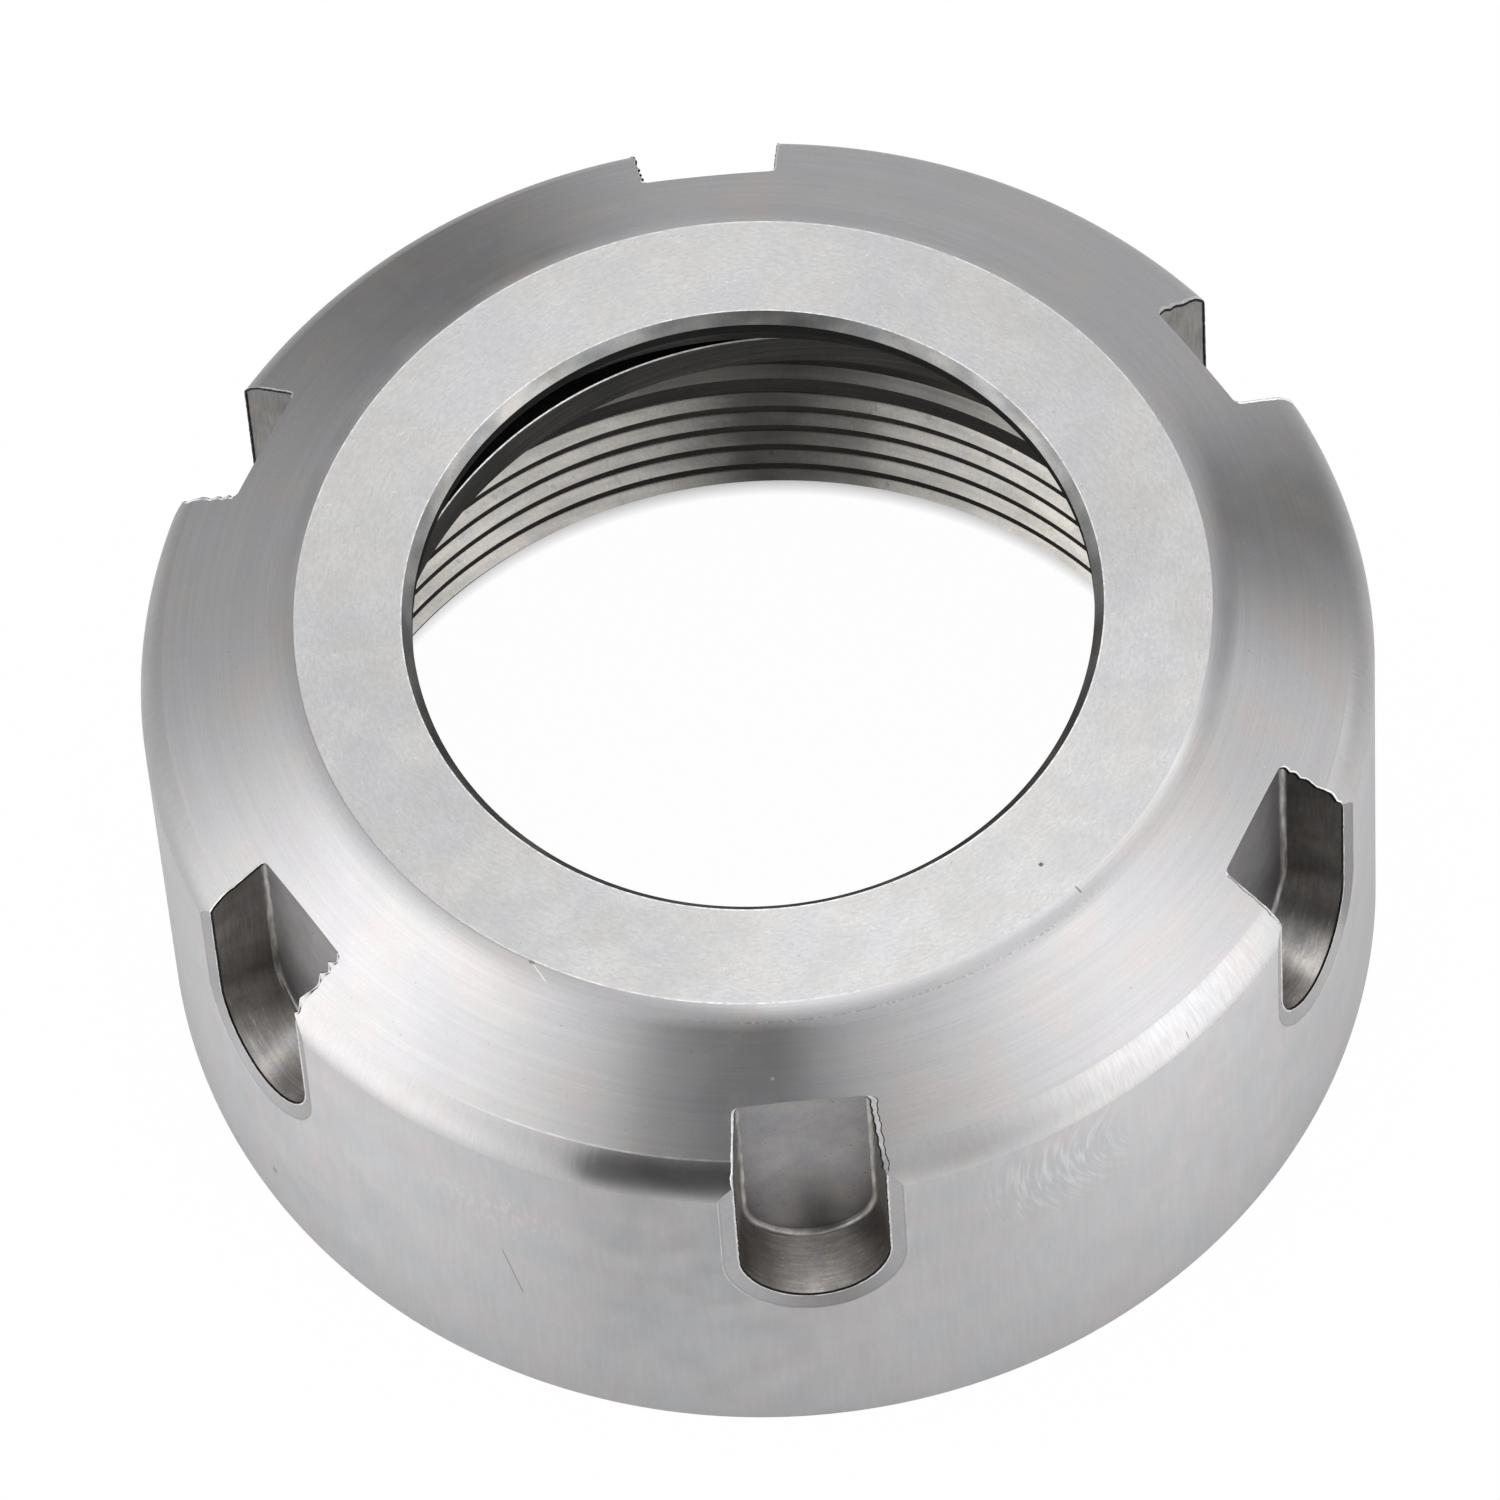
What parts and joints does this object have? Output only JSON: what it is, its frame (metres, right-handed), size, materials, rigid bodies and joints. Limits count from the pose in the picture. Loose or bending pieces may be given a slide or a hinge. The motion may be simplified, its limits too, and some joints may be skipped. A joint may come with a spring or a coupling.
{
  "type": "collet nut",
  "caption": "Clamping nut for spring collets: threaded ring with a seat cone, an off-centre extraction ring and spanner slots round a coned front.",
  "frame": {"origin": "centre of the nut's foot, on its axis", "axes": "+Z along the axis towards the front face, -Y towards the front spanner slot of the picture, +X towards the wide side of the extraction ring"},
  "size_m": [0.05, 0.05, 0.0225],
  "materials": {
    "steel": "bare turned and ground steel, slots milled"
  },
  "bodies": {
    "root": {"nut_body": "steel"}
  },
  "joints": []
}
